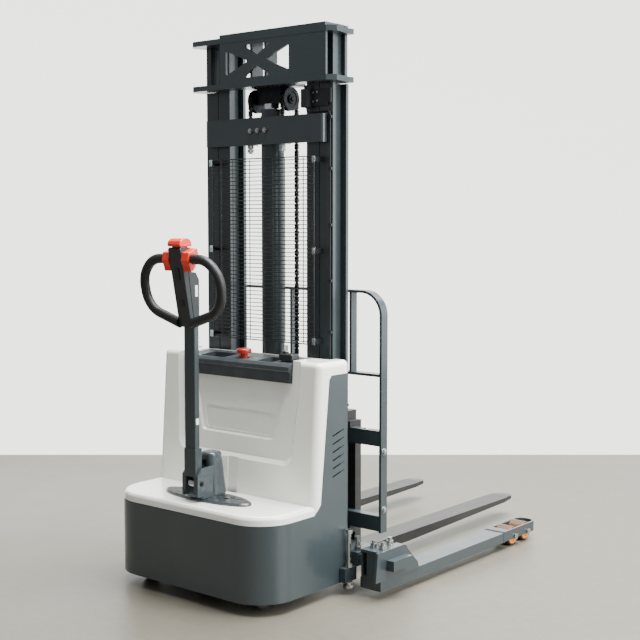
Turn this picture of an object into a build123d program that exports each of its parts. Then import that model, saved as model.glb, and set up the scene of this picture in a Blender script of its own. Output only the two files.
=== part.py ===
from build123d import *
import math
import os

os.makedirs("parts", exist_ok=True)

# Walkie stacker, millimetres. +Z up, +Y towards the fork tips, +X to the operator's right.
# The sub-parts are drawn with Y = 0 on the rear faces of the mast rails, and are moved by
# FRAME_Y when they are written, so that the origin is below the middle of the whole machine.
FRAME_Y = -449.5

# ---- driving dimensions -------------------------------------------------------------------
BODY_HALF_W = 402.0
BODY_REAR_Y = -468.0
BODY_CORNER_R = 145.0
SKIRT_BOTTOM_Z = 43.0
SKIRT_TOP_Z = 318.0
SHEET = 3.0
PANEL_TOP_Z = 815.0
PANEL_FRONT_Y = -14.0
DECK_TOP_Z = 352.0
COVER_TOP_Z = 864.0
COVER_FRONT_Y = -46.0
COVER_REAR_LOW_Y = -208.0
COVER_REAR_HIGH_Y = -172.0

RAIL_DEPTH = 92.0
RAIL_FLANGE = 14.0
OUTER_RAIL_X = (260.0, 322.0)
OUTER_WEB_X = (285.0, 297.0)
OUTER_RAIL_Z = (150.0, 1872.0)
INNER_RAIL_X = (197.0, 257.0)
INNER_WEB_X = (221.0, 233.0)
INNER_RAIL_Z = (158.0, 2048.0)
MAST_ROLLER_R = 31.6

LOWER_PLATE_Z = (1874.0, 1894.0)
TOP_PLATE_Z = (2048.0, 2068.0)
CAP_Z = (2068.0, 2080.0)
CROSSHEAD_REAR_Y = -60.0
CROSSHEAD_FRONT_Y = 84.0

CYL_Y = 32.0
BARREL_R = 44.0
BARREL_BORE_R = 34.0
BARREL_Z = (150.0, 1792.0)
ROD_R = 22.5

PULLEY_X = 82.0
PULLEY_Y = 36.0
PULLEY_Z = 1828.0
CHAIN_R = 40.3
CHAIN_T = 10.0
CHAIN_W = 16.0
CHAIN_FOOT_Z = 372.0

CROSSBAR_Z = (1657.0, 1760.0)
CROSSBAR_Y = (-33.0, -25.0)
GUARD_Z = (912.0, 1606.0)
GUARD_Y = -33.0
GUARD_HALF_W = 259.0
GUARD_PITCH = 15.0

CARRIAGE_REAR_Y = 134.0
CARRIAGE_FRONT_Y = 168.0
CARRIAGE_HALF_W = 436.0
CARRIAGE_ROLLER_Z = (240.0, 432.0)
UPPER_BAR_Z = (526.0, 584.0)
LOWER_BAR_Z = (202.0, 260.0)
BACKREST_TOP_Z = 1110.0
BACKREST_PITCH = 149.0
FORK_X = 247.0
FORK_W = 100.0
FORK_TIP_Y = 1396.0
FORK_TOP_Z = 98.0
SHANK_Y = (170.0, 206.0)

BEAM_Y = (2.0, 132.0)
BEAM_Z = (99.0, 150.0)
BEAM_HALF_L = 440.0
BEAM_WALL = 6.0
LEG_X = (469.0, 562.0)
LEG_Z = (31.0, 72.0)
LEG_REAR_Y = -20.0
LEG_TUBE_END_Y = 845.0
LEG_TIP_Y = 1119.0
LOAD_ROLLER_R = 39.5
LOAD_ROLLER_Y = (935.0, 1040.0)
JACK_X = 420.0
JACK_Y = -25.0

STEER_Y = -330.0
DRIVE_WHEEL_R = 105.0
DRIVE_WHEEL_W = 75.0
CASTER_X = 285.0
CASTER_R = 55.0
CASTER_TRAIL = 26.0

TILLER_PIVOT_Y = -405.0
TILLER_PIVOT_Z = 420.0
HEAD_HALF_W = 31.0
HEAD_LOW = (-440.0, 991.0)
HEAD_HIGH = (-494.0, 1272.0)
THROTTLE_Y = -467.0
THROTTLE_Z = 1233.0
GRIP_R = 17.5
ROCKER_Z = 1182.0


# ---- helpers ------------------------------------------------------------------------------
def box(x0, x1, y0, y1, z0, z1):
    """A box given by its two corners."""
    centre = Pos((x0 + x1) / 2, (y0 + y1) / 2, (z0 + z1) / 2)
    return centre * Box(x1 - x0, y1 - y0, z1 - z0)


def cyl_x(r, x0, x1, y, z):
    return Pos((x0 + x1) / 2, y, z) * Rot(0, 90, 0) * Cylinder(r, x1 - x0)


def cyl_y(r, y0, y1, x, z):
    return Pos(x, (y0 + y1) / 2, z) * Rot(90, 0, 0) * Cylinder(r, y1 - y0)


def cyl_z(r, z0, z1, x, y):
    return Pos(x, y, (z0 + z1) / 2) * Cylinder(r, z1 - z0)


def hex_z(flats, z0, z1, x, y):
    """A hexagon prism along Z, given by its width across flats."""
    outline = RegularPolygon(flats / 2, 6, major_radius=False)
    return Pos(x, y, z0) * extrude(outline, z1 - z0)


def hex_y(flats, y0, y1, x, z):
    outline = RegularPolygon(flats / 2, 6, major_radius=False)
    return Pos(x, y1, z) * Rot(90, 0, 0) * extrude(outline, y1 - y0)


def hex_x(flats, x0, x1, y, z):
    outline = RegularPolygon(flats / 2, 6, major_radius=False)
    return Pos(x0, y, z) * Rot(0, 90, 0) * extrude(outline, x1 - x0)


def prism_x(points, x0, x1, corner=0.0):
    """A (y, z) outline drawn out along X, with its corners rounded."""
    sketch = Polygon(*points, align=None)
    if corner:
        sketch = fillet(sketch.vertices(), corner)
    return extrude(Plane.YZ.offset(x0) * sketch, x1 - x0, dir=(1, 0, 0))


def prism_y(points, y0, y1, corner=0.0):
    """An (x, z) outline drawn out along Y."""
    sketch = Polygon(*points, align=None)
    if corner:
        sketch = fillet(sketch.vertices(), corner)
    plane = Plane(origin=(0, y1, 0), x_dir=(1, 0, 0), z_dir=(0, -1, 0))
    return extrude(plane * sketch, y1 - y0, dir=(0, -1, 0))


def prism_z(points, z0, z1, corner=0.0):
    sketch = Polygon(*points, align=None)
    if corner:
        sketch = fillet(sketch.vertices(), corner)
    return extrude(Plane.XY.offset(z0) * sketch, z1 - z0, dir=(0, 0, 1))


def both_sides(solid):
    """The solid and its mirror image on the other side of the machine."""
    return solid + mirror(solid, about=Plane.YZ)


def mirrored(solid):
    return mirror(solid, about=Plane.YZ)


# ---- chassis ------------------------------------------------------------------------------
def body_outline(inset, z0, z1, front_y):
    """The plan of the chassis: straight sides and a rear with large round corners."""
    half = BODY_HALF_W - inset
    rear = BODY_REAR_Y + inset
    r = BODY_CORNER_R - inset
    with BuildSketch(Plane.XY.offset(z0)) as plan:
        with BuildLine():
            Line((-half, front_y), (-half, rear + r))
            RadiusArc((-half, rear + r), (-half + r, rear), -r)
            Line((-half + r, rear), (half - r, rear))
            RadiusArc((half - r, rear), (half, rear + r), -r)
            Line((half, rear + r), (half, front_y))
            Line((half, front_y), (-half, front_y))
        make_face()
    return extrude(plan.sketch, z1 - z0, dir=(0, 0, 1))


def chassis_frame():
    plate_t = 12.0
    floor_z = 48.0
    inside = body_outline(SHEET + 7.0, SKIRT_BOTTOM_Z, PANEL_TOP_Z, -2.0)
    half = BODY_HALF_W - SHEET - 13.0
    floor = box(-half, half, -200, -60, floor_z, floor_z + plate_t)
    arch_walls = both_sides(box(190, 200, -430, -200, floor_z, 318))
    ribs = both_sides(box(200, 360, -244, -236, 160, 318))
    deck_plate = box(-376, 376, -440, -200, 318, 330)
    deck_plate -= cyl_z(72.0, 310, 340, 0, STEER_Y)
    caster_plates = both_sides(box(200, 362, -425, -245, 160, 170))
    riser = box(-half, half, -206, -200, floor_z, 318)
    bulkhead = box(-half, half, -36, -30, 99, 780)
    shelf = box(-half, half, -150, -36, 452, 460)
    body = floor + arch_walls + ribs + deck_plate + caster_plates + riser
    body = (body + bulkhead + shelf) & inside
    front_block = box(-430, 430, -60, 8, floor_z, 99.2)
    front_block -= both_sides(cyl_z(8.5, floor_z - 1, 100, JACK_X, JACK_Y))
    gussets = both_sides(box(322, 332, -33, 60, 99, 640))
    gussets -= box(-400, 400, 1.5, 132.5, 98, 151)
    foot_plate = box(-322, 322, -30, -0.5, 99, 120)
    return body + front_block + gussets + foot_plate + swivel_ring() + leg_beam()


def side_edge(grow):
    """The side panel's outline in (y, z), grown outwards by a gap."""
    return [
        (PANEL_FRONT_Y + 400, SKIRT_BOTTOM_Z - 10),
        (BODY_REAR_Y - 10, SKIRT_BOTTOM_Z - 10),
        (BODY_REAR_Y - 10, SKIRT_TOP_Z + grow),
        (-200 - grow, SKIRT_TOP_Z + grow),
        (-165 - grow, DECK_TOP_Z + grow),
        (-117 - grow, 800),
        (-104 - grow, PANEL_TOP_Z + grow),
        (PANEL_FRONT_Y + 400, PANEL_TOP_Z + grow),
    ]


def chassis_skirt():
    outer = body_outline(0.0, SKIRT_BOTTOM_Z, PANEL_TOP_Z, PANEL_FRONT_Y)
    inner = body_outline(SHEET, SKIRT_BOTTOM_Z - 1, PANEL_TOP_Z + 1, PANEL_FRONT_Y + 1)
    wall = outer - inner
    keep = prism_x(side_edge(0.0), -500, 500)
    wall = wall & keep
    wall -= box(-500, 500, -60.6, 10, 47.4, 99.6)
    slot_half_l = 33.0
    slot_half_h = 2.8
    for row in range(6):
        mid_z = 603 - 30.0 * row
        slot = Pos(0, -67, mid_z) * Rot(16, 0, 0)
        wall -= slot * Box(2 * BODY_HALF_W + 20, 2 * slot_half_l, 2 * slot_half_h)
    return wall


def cover_face_plane():
    """The plane of the cover's sloping rear face, with its local Y pointing up the face."""
    rise = COVER_TOP_Z - DECK_TOP_Z
    run = COVER_REAR_HIGH_Y - COVER_REAR_LOW_Y
    return Plane(
        origin=(0, COVER_REAR_LOW_Y, DECK_TOP_Z), x_dir=(1, 0, 0), z_dir=(0, -rise, run)
    )


def bevelled_pocket(points, depth, bevel, corner):
    """A pocket whose walls slope: it is smaller at its floor than at the face."""
    centre_x = sum(x for x, _ in points) / len(points)
    centre_y = sum(y for _, y in points) / len(points)
    floor = []
    for x, y in points:
        dx = math.copysign(bevel, x - centre_x)
        dy = math.copysign(bevel, y - centre_y)
        floor.append((x - dx, y - dy))
    levels = ((floor, -depth), (points, 0.4))
    faces = []
    for outline, height in levels:
        sketch = fillet(Polygon(*outline, align=None).vertices(), corner)
        faces.append(cover_face_plane().offset(height) * sketch)
    return loft([faces[0].face(), faces[1].face()])


def rear_cover():
    wall = 4.0
    rear_wall = 42.0
    half = BODY_HALF_W
    low, high = COVER_REAR_LOW_Y, COVER_REAR_HIGH_Y
    slope = (high - low) / (COVER_TOP_Z - DECK_TOP_Z)
    foot_y = low - slope * (DECK_TOP_Z - 330.0)
    front = PANEL_FRONT_Y
    outline = [(foot_y, 330), (high, COVER_TOP_Z), (front, COVER_TOP_Z), (front, 330)]
    upright = prism_x(outline, -half, half)
    slanted = upright.edges().filter_by(
        lambda e: abs(abs(e.center().X) - half) < 0.1 and abs(e.tangent_at(0.5).Z) > 0.9
        and e.center().Y < -100
    )
    upright = fillet(slanted, 26)
    top_edges = upright.edges().filter_by(
        lambda e: abs(e.center().Z - COVER_TOP_Z) < 0.5 and e.center().Y < front - 2
    )
    upright = fillet(top_edges, 20)
    inner_low = foot_y + rear_wall
    inner_high = inner_low + slope * (COVER_TOP_Z - 8.0 - 300.0)
    inner_outline = [(inner_low, 300), (inner_high, COVER_TOP_Z - 8), (30, COVER_TOP_Z - 8), (30, 300)]
    cavity = prism_x(inner_outline, -half + wall + 3.5, half - wall - 3.5)
    inner_corners = cavity.edges().filter_by(
        lambda e: abs(abs(e.center().X) - (half - wall - 3.5)) < 0.1 and abs(e.tangent_at(0.5).Z) > 0.9
        and e.center().Y < -80
    )
    cavity = fillet(inner_corners, 16)
    deck = body_outline(3.0, SKIRT_TOP_Z + 1.5, DECK_TOP_Z, -190)
    rim = deck.edges().filter_by(
        lambda e: abs(e.center().Z - DECK_TOP_Z) < 0.5 and e.center().Y < -191
    )
    deck = fillet(rim, 15)
    deck_cavity = body_outline(wall + 3.0, SKIRT_TOP_Z - 1, DECK_TOP_Z - wall, -195)
    cover = (upright + deck) - deck_cavity - cavity
    cover -= box(-150, 150, -30, 10, 300, 900)
    cover -= box(-346, 346, COVER_FRONT_Y, 10, 300, 900)
    cover -= both_sides(box(half - 12, half + 1, -108, -24, 420, 650))
    panel_room = prism_x(side_edge(1.5), -500, 500)
    side_room = box(-500, 500, -600, 100, 0, PANEL_TOP_Z + 1.5)
    side_room -= box(-(half - SHEET - 0.5), half - SHEET - 0.5, -700, 200, -1, 900)
    cover -= panel_room & side_room
    cover -= box(-500, 500, -600, 200, 0, SKIRT_TOP_Z + 1.4)
    outer = [(-292, 130), (292, 130), (316, 470), (316, 620), (-316, 620), (-316, 470)]
    middle = [(-190, 206), (190, 206), (250, 436), (250, 620), (-250, 620), (-250, 436)]
    step = [(-172, 224), (172, 224), (190, 318), (-190, 318)]
    cover -= bevelled_pocket(outer, 14.0, 16.0, 44)
    cover -= bevelled_pocket(middle, 26.0, 14.0, 20)
    cover -= bevelled_pocket(step, 30.0, 5.0, 12)
    channel_top = 500.0
    channel = box(-27, 27, low - 3, low + 12, DECK_TOP_Z - 6, channel_top - 27)
    channel += cyl_y(27, low - 3, low + 12, 0, channel_top - 27)
    cover -= channel
    cover -= box(-266, 266, -240, -50, 780, 900)
    cover -= cyl_z(58, 300, 360, 0, STEER_Y)
    return cover


def top_tray():
    slope = (COVER_REAR_HIGH_Y - COVER_REAR_LOW_Y) / (COVER_TOP_Z - DECK_TOP_Z)
    front_low_y = COVER_REAR_LOW_Y + (782 - DECK_TOP_Z) * slope + 2.0
    outline = [(front_low_y, 782), (front_low_y - 1, 822), (-183, 828), (-182, 841), (-172, 852)]
    outline += [(-52, 862), (-52, 782)]
    tray = prism_x(outline, -264, 264)
    wells = box(-206, -76, -166, -84, 812, 900)
    wells += box(92, 172, -166, -84, 812, 900)
    wells = fillet(wells.edges().filter_by(Axis.Z), 12)
    tray -= wells
    tray -= box(-240, 240, -150, -60, 770, 802)
    tray -= cyl_z(20.5, 770, 900, 0, -136)
    tray -= cyl_z(13.5, 770, 900, 218, -128)
    return tray


def tiller_trim():
    centre_y = STEER_Y - 5.0
    with BuildSketch(Plane.XY.offset(DECK_TOP_Z + 0.2)) as plan:
        with Locations((0, centre_y)):
            Ellipse(212, 66)
        with Locations((0, STEER_Y)):
            Circle(50, mode=Mode.SUBTRACT)
    plate = extrude(plan.sketch, 10)
    rim = plate.edges().sort_by(Axis.Z)[-2:]
    plate = chamfer([max(rim, key=lambda e: e.length)], 4)
    for side in (-1, 1):
        plate -= box(side * 128 - 34, side * 128 + 34, centre_y + 18, centre_y + 24, 356, 370)
        plate -= box(side * 96 - 12, side * 96 + 12, centre_y - 6, centre_y + 6, 356, 370)
    return plate


def battery_pack():
    case = box(-296, 296, -136, -40, 460.5, 690)
    case = fillet(case.edges().filter_by(Axis.Z), 8)
    lid = box(-288, 288, -132, -44, 690, 702)
    posts = both_sides(cyl_z(9, 702, 716, 240, -88))
    return case + lid + posts


def oil_tank():
    tank = box(-350, -130, -190, -62, 60.2, 300)
    tank = fillet(tank.edges().filter_by(Axis.Z), 14)
    return tank + cyl_z(20, 300, 322, -300, -120)


def hydraulic_unit():
    """Oil tank, pump and pump motor of the lift, which stand on the chassis floor."""
    motor = cyl_x(58, -60, 110, -118, 150)
    end_cap = cyl_x(50, 110, 124, -118, 150)
    pump = box(-112, -60, -150, -86, 118, 182)
    feet = box(-40, 90, -150, -86, 60.2, 96)
    outlet = cyl_x(9, -131, -111, -118, 150)
    return motor + end_cap + pump + feet + outlet + oil_tank()


def swivel_ring():
    ring = cyl_z(71.9, 300, 330, 0, STEER_Y) - cyl_z(50.5, 299, 331, 0, STEER_Y)
    flange = cyl_z(84, 330, 336, 0, STEER_Y) - cyl_z(50.5, 329, 337, 0, STEER_Y)
    for k in range(8):
        a = math.radians(45.0 * k + 22.5)
        flange += hex_z(13, 336, 342, 78 * math.cos(a) * 0.99, STEER_Y + 78 * math.sin(a) * 0.99)
    return ring + flange


def control_pod():
    """Key switch and battery gauge housing on the tray."""
    base = box(186, 252, -150, -106, 859, 884)
    base = fillet(base.edges().filter_by(Axis.Z), 7)
    base = chamfer(base.faces().sort_by(Axis.Z)[-1].edges(), 3)
    stem = cyl_z(13, 846, 859.1, 218, -128)
    collar = cyl_z(12, 884, 890, 203, -128)
    body = base + stem + collar
    body -= cyl_z(8.3, 872, 891, 203, -128)
    body -= box(222, 247, -140, -116, 882.5, 885)
    return body


def frame_hardware():
    """Jack-bolt lock nuts, beam lock bolts and the crossbar's strap bolts."""
    nut = hex_z(24, 99.3, 112, JACK_X, JACK_Y) - cyl_z(8.35, 99, 113, JACK_X, JACK_Y)
    washer = cyl_z(14, 150.3, 153.3, JACK_X, 28)
    lock = hex_z(24, 153.3, 166, JACK_X, 28) + cyl_z(8, 166, 192, JACK_X, 28)
    lock += hex_z(24, 192, 204, JACK_X, 28)
    group = both_sides(nut) + both_sides(washer + lock)
    for x in (-53.0, -16.0, 21.0):
        group += hex_y(17, -41, -33.1, x, 1711)
        group += cyl_y(5, -46, -41, x, 1711)
    return group + chain_anchors()


# ---- mast, fixed part ---------------------------------------------------------------------
def i_rail(span, web, z):
    """One I-section rail: rear flange, front flange and web."""
    rear = box(span[0], span[1], 0, RAIL_FLANGE, z[0], z[1])
    front = box(span[0], span[1], RAIL_DEPTH - RAIL_FLANGE, RAIL_DEPTH, z[0], z[1])
    middle = box(web[0], web[1], 0, RAIL_DEPTH, z[0], z[1])
    return rear + front + middle


def outer_rails():
    rail = i_rail(OUTER_RAIL_X, OUTER_WEB_X, (OUTER_RAIL_Z[0] + 0.3, OUTER_RAIL_Z[1]))
    rail += cyl_x(12.5, 234.5, OUTER_WEB_X[0], RAIL_DEPTH / 2, 1826)
    return both_sides(rail)


def anchor_crossbar():
    z0, z1 = CROSSBAR_Z
    y0, y1 = CROSSBAR_Y
    wrap = box(-300, 300, y0, -0.2, z0, z1)
    corners = wrap.edges().filter_by(Axis.Z).filter_by(lambda e: e.center().Y < y0 + 1)
    wrap = fillet(corners, 14)
    inside = box(-292, 292, y1, 5, z0 - 1, z1 + 1)
    inner_corners = inside.edges().filter_by(Axis.Z).filter_by(lambda e: e.center().Y < y1 + 1)
    wrap -= fillet(inner_corners, 6)
    shelf = box(56, 112, y1, 9, z0, z0 + 10)
    shelf -= cyl_z(7.4, z0 - 1, z0 + 11, PULLEY_X, PULLEY_Y - CHAIN_R)
    strap = box(-42, 42, y1, -13, 1690, 1732) - cyl_z(BARREL_R + 0.3, 1680, 1740, 0, CYL_Y)
    return wrap + both_sides(shelf) + strap


def chain_anchors():
    y = PULLEY_Y - CHAIN_R
    stud = cyl_z(6.8, 1626, 1671, PULLEY_X, y)
    nut = hex_z(22, 1645, 1656.8, PULLEY_X, y) + hex_z(22, 1631, 1643, PULLEY_X, y)
    clevis = box(PULLEY_X - 9, PULLEY_X + 9, y - 6, y + 6, 1671, 1694)
    return both_sides(stud + nut + clevis)


def guard_mesh():
    """Welded wire guard: level wires, upright wires behind them and an outer frame wire."""
    z0, z1 = GUARD_Z
    wires = []
    count = int((z1 - z0 - 12) / GUARD_PITCH)
    for k in range(count + 1):
        wires.append(cyl_x(1.6, -256.8, 256.8, GUARD_Y, z0 + 9 + GUARD_PITCH * k))
    for x in (-211, -147, -59, 59, 120, 211):
        wires.append(cyl_z(1.6, z0 + 3.2, z1 - 3.2, x, GUARD_Y - 3.2))
    frame = both_sides(cyl_z(2.2, z0, z1, GUARD_HALF_W, GUARD_Y))
    frame += cyl_x(2.2, -GUARD_HALF_W, GUARD_HALF_W, GUARD_Y, z0)
    frame += cyl_x(2.2, -GUARD_HALF_W, GUARD_HALF_W, GUARD_Y, z1)
    wires += list(frame.solids())
    for z in (z0 + 12, (z0 + z1) / 2, z1 - 12):
        clip = box(261.6, 274, GUARD_Y - 3, -0.3, z - 9, z + 9)
        clip += box(254, 261.6, GUARD_Y - 7, GUARD_Y - 5, z - 9, z + 9)
        clip += box(261.6, 274, GUARD_Y - 7, GUARD_Y - 3, z - 9, z + 9)
        wires += list(both_sides(clip).solids())
    return Compound(children=wires)


def mast_hose():
    """Thin cable up the right rail, held by clips, into the limit switch."""
    x = 313.0
    y = -5.0
    route = [(x, -29.9, 600), (x, y, 600), (x, y, 1770), (212, -12, 1766), (212, -19, 1783.9)]
    path = FilletPolyline(*route, radius=[18, 14, 9])
    tube = sweep(Plane(origin=path @ 0, z_dir=path % 0) * Circle(3.0), path=path)
    clips = []
    for z in (960, 1150, 1355, 1560, 1748):
        clip = box(305, 321, -9.5, -0.2, z - 5, z + 5) - cyl_z(3.0, z - 6, z + 6, x, y)
        clips.append(clip)
    return Compound(children=[tube.solids()[0]] + clips)


def limit_switch():
    bracket = box(226, 318, -8, -2.6, 1790, 1852) + box(264, 318, -2.6, -0.2, 1790, 1852)
    bracket -= box(300, 325, -12, 1, 1738, 1800)
    body = box(197, 226, -34, -4, 1784, 1852)
    body = fillet(body.edges().filter_by(Axis.Y), 3)
    arm = box(204, 214, -24, -16, 1852, 1866)
    screws = None
    for x, z in ((236, 1806), (236, 1838), (256, 1808), (256, 1840)):
        head = cyl_y(4.2, -11, -8, x, z)
        screws = head if screws is None else screws + head
    return bracket + body + arm + screws


def cylinder_barrel():
    z0, z1 = BARREL_Z
    tube = cyl_z(BARREL_R, z0 + 0.3, z1, 0, CYL_Y) - cyl_z(BARREL_BORE_R, 172, 1768, 0, CYL_Y)
    tube -= cyl_z(ROD_R + 0.4, 1760, z1 + 1, 0, CYL_Y)
    tube += cyl_z(BARREL_R + 3, 1740, 1768, 0, CYL_Y) - cyl_z(BARREL_R - 1, 1739, 1769, 0, CYL_Y)
    base = box(-60, 60, CYL_Y - 30, CYL_Y + 44, z0 + 0.3, 166)
    return tube + base


# ---- mast, moving part --------------------------------------------------------------------
def inner_rails():
    rail = i_rail(INNER_RAIL_X, INNER_WEB_X, INNER_RAIL_Z)
    rail += cyl_x(12.5, INNER_WEB_X[1], 283, RAIL_DEPTH / 2, 196)
    tie = box(-256, 256, -24, -16, 162, 222)
    legs = box(204, 250, -16, 0, 162, 222)
    return both_sides(rail + legs) + tie


def crosshead_outline(z0, z1):
    rear, front = CROSSHEAD_REAR_Y, CROSSHEAD_FRONT_Y
    right = [(338, rear), (366, rear + 28), (348, 58), (352, front)]
    left = [(-x, y) for x, y in reversed(right)]
    return prism_z(right + left, z0, z1)


def x_window():
    """Four triangular windows that leave an X of flat bars between them."""
    half_w = 160.0
    z0, z1 = 1910.0, 2032.0
    mid = (z0 + z1) / 2
    top = [(-72, z1), (72, z1), (0, mid + 19)]
    bottom = [(x, 2 * mid - z) for x, z in top]
    side = [(half_w, z0 + 14), (half_w, z1 - 14), (42, mid)]
    other = [(-x, z) for x, z in side]
    cut = None
    for tri in (top, bottom, side, other):
        hole = prism_y(tri, -80, -20, 5)
        cut = hole if cut is None else cut + hole
    return cut


def crosshead():
    lower = crosshead_outline(*LOWER_PLATE_Z)
    slot = box(120, 257.4, -0.3, 100, 1870, 1900)
    lower -= both_sides(slot)
    top = crosshead_outline(*TOP_PLATE_Z)
    cap = box(-192, 334, CROSSHEAD_REAR_Y, 50, *CAP_Z)
    plate = box(-192, 336, CROSSHEAD_REAR_Y + 1, CROSSHEAD_REAR_Y + 11, 1893.9, 2048.1)
    plate -= x_window()
    web = box(297, 305, 0, RAIL_DEPTH - 8, 1893.9, 2048.1)
    post = web + box(297, 322, 0, 14, 1893.9, 2048.1) + box(297, 322, 70, 84, 1893.9, 2048.1)
    ribs = box(30, 42, -49, 12, 1893.9, 2048.1)
    bolts = None
    for x, y in ((331, 20), (331, 62)):
        bolt = hex_z(19, 2068, 2078, x, y)
        bolts = bolt if bolts is None else bolts + bolt
    body = lower + top + cap + plate + both_sides(post + ribs) + both_sides(bolts)
    return body


def pulley_bracket():
    block = box(-60, 60, 12, 60, 1813.8, 1873.9)
    axle = cyl_x(10.0, -97, 97, PULLEY_Y, PULLEY_Z)
    ears = both_sides(box(60, 70, 20, 52, 1813.8, 1873.9))
    washers = both_sides(cyl_x(17, 94.4, 97, PULLEY_Y, PULLEY_Z))
    stops = both_sides(hex_x(16, 97, 102, PULLEY_Y, PULLEY_Z))
    return block + axle + ears + washers + stops


def chain_pulley(side):
    """Flanged chain pulley that runs on the bracket's axle."""
    x0, x1 = PULLEY_X - 11.0, PULLEY_X + 11.0
    wheel = cyl_x(44.6, x0, x1, PULLEY_Y, PULLEY_Z)
    groove = cyl_x(60, x0 + 2.4, x1 - 2.4, PULLEY_Y, PULLEY_Z)
    groove -= cyl_x(CHAIN_R - CHAIN_T / 2 - 0.3, x0, x1, PULLEY_Y, PULLEY_Z)
    wheel -= groove
    dish = cyl_x(30, x1 - 2.5, x1 + 1, PULLEY_Y, PULLEY_Z) - cyl_x(18, x0, x1 + 2, PULLEY_Y, PULLEY_Z)
    wheel -= dish
    wheel -= cyl_x(10.06, x0 - 1, x1 + 1, PULLEY_Y, PULLEY_Z)
    return wheel if side > 0 else mirrored(wheel)


def cylinder_rod():
    rod = cyl_z(ROD_R, 300, 1802, 0, CYL_Y)
    piston = cyl_z(BARREL_BORE_R - 0.4, 290, 330, 0, CYL_Y)
    nut = hex_z(56, 1796, 1813.8, 0, CYL_Y)
    return rod + piston + nut


def chain_section(y):
    """The plan of one chain run at a distance from the rails' rear faces."""
    return (PULLEY_X - CHAIN_W / 2, PULLEY_X + CHAIN_W / 2, y - CHAIN_T / 2, y + CHAIN_T / 2)


def chain_rear_runs():
    section = chain_section(PULLEY_Y - CHAIN_R)
    return both_sides(box(*section, 1694.2, PULLEY_Z - 0.1))


def chain_wraps():
    """The chains' half turn over each pulley."""
    x0, x1 = PULLEY_X - CHAIN_W / 2, PULLEY_X + CHAIN_W / 2
    ring = cyl_x(CHAIN_R + CHAIN_T / 2, x0, x1, PULLEY_Y, PULLEY_Z)
    ring -= cyl_x(CHAIN_R - CHAIN_T / 2, x0 - 1, x1 + 1, PULLEY_Y, PULLEY_Z)
    return both_sides(ring & box(x0, x1, -100, 200, PULLEY_Z, PULLEY_Z + 80))


def chain_front_runs():
    section = chain_section(PULLEY_Y + CHAIN_R)
    return both_sides(box(*section, CHAIN_FOOT_Z + 0.2, PULLEY_Z - 0.1))


def roller_pair(x0, x1, z_list):
    """Mast rollers, one on each side for every height given."""
    group = None
    for z in z_list:
        roller = cyl_x(MAST_ROLLER_R, x0, x1, RAIL_DEPTH / 2, z)
        roller = chamfer(roller.edges().filter_by(GeomType.CIRCLE), 2)
        roller -= cyl_x(12.55, x0 - 1, x1 + 1, RAIL_DEPTH / 2, z)
        group = roller if group is None else group + roller
    return both_sides(group)


# ---- carriage -----------------------------------------------------------------------------
def carriage_frame():
    rear, front = CARRIAGE_REAR_Y, CARRIAGE_FRONT_Y
    upper = box(-CARRIAGE_HALF_W, CARRIAGE_HALF_W, rear, front, *UPPER_BAR_Z)
    lower = box(-CARRIAGE_HALF_W, CARRIAGE_HALF_W, rear, front, *LOWER_BAR_Z)
    for k in range(-3, 4):
        upper -= box(k * 120 - 9, k * 120 + 9, rear + 8, front + 1, UPPER_BAR_Z[1] - 8, UPPER_BAR_Z[1] + 1)
    side_outline = [(18, 205), (rear + 1, 205), (rear + 1, 560), (88, 560), (88, 466), (18, 466)]
    side = prism_x(side_outline, 176, 190)
    studs = cyl_x(12.5, 190, 219, RAIL_DEPTH / 2, CARRIAGE_ROLLER_Z[0])
    studs += cyl_x(12.5, 190, 219, RAIL_DEPTH / 2, CARRIAGE_ROLLER_Z[1])
    links = box(130, 142, rear - 6, front - 8, 258, 528)
    web = box(-176, 176, 96, 108, 330, 440)
    stays = box(150, 176, 96, rear + 1, 330, 440)
    lug = box(58, 106, 88, 97, 330, CHAIN_FOOT_Z - 12)
    lug += box(66, 98, 68, 97, CHAIN_FOOT_Z - 28, CHAIN_FOOT_Z - 12)
    clevis = box(PULLEY_X - 9, PULLEY_X + 9, 70, 83, CHAIN_FOOT_Z - 12, CHAIN_FOOT_Z)
    half = side + studs + links + stays + lug + clevis
    return upper + lower + both_sides(half) + web


def flat_bar_frame():
    """The backrest's outer frame: one flat bar bent over with round top corners."""
    half = CARRIAGE_HALF_W + 11.0
    top = BACKREST_TOP_Z
    r = 95.0
    t = 10.0
    with BuildSketch(Plane(origin=(0, 172, 0), x_dir=(1, 0, 0), z_dir=(0, -1, 0))) as face:
        with BuildLine():
            Line((half, 196), (half, top - r))
            RadiusArc((half, top - r), (half - r, top), -r)
            Line((half - r, top), (-half + r, top))
            RadiusArc((-half + r, top), (-half, top - r), -r)
            Line((-half, top - r), (-half, 196))
            Line((-half, 196), (-half + t, 196))
            Line((-half + t, 196), (-half + t, top - r))
            RadiusArc((-half + t, top - r), (-half + r, top - t), r - t)
            Line((-half + r, top - t), (half - r, top - t))
            RadiusArc((half - r, top - t), (half - t, top - r), r - t)
            Line((half - t, top - r), (half - t, 196))
            Line((half - t, 196), (half, 196))
        make_face()
    return extrude(face.sketch, 38, dir=(0, -1, 0))


def load_backrest():
    frame = flat_bar_frame()
    half = CARRIAGE_HALF_W + 1.0
    frame += box(-half, half, 134, 172, 788, 798)
    for k in (-2, -1, 0, 1, 2):
        x = k * BACKREST_PITCH
        frame += box(x - 5, x + 5, 136, 170, 797, BACKREST_TOP_Z - 9)
    for z in (505.0, 284.0):
        frame += both_sides(hex_x(19, CARRIAGE_HALF_W + 11.0, CARRIAGE_HALF_W + 19.0, 151, z))
    return frame


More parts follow.
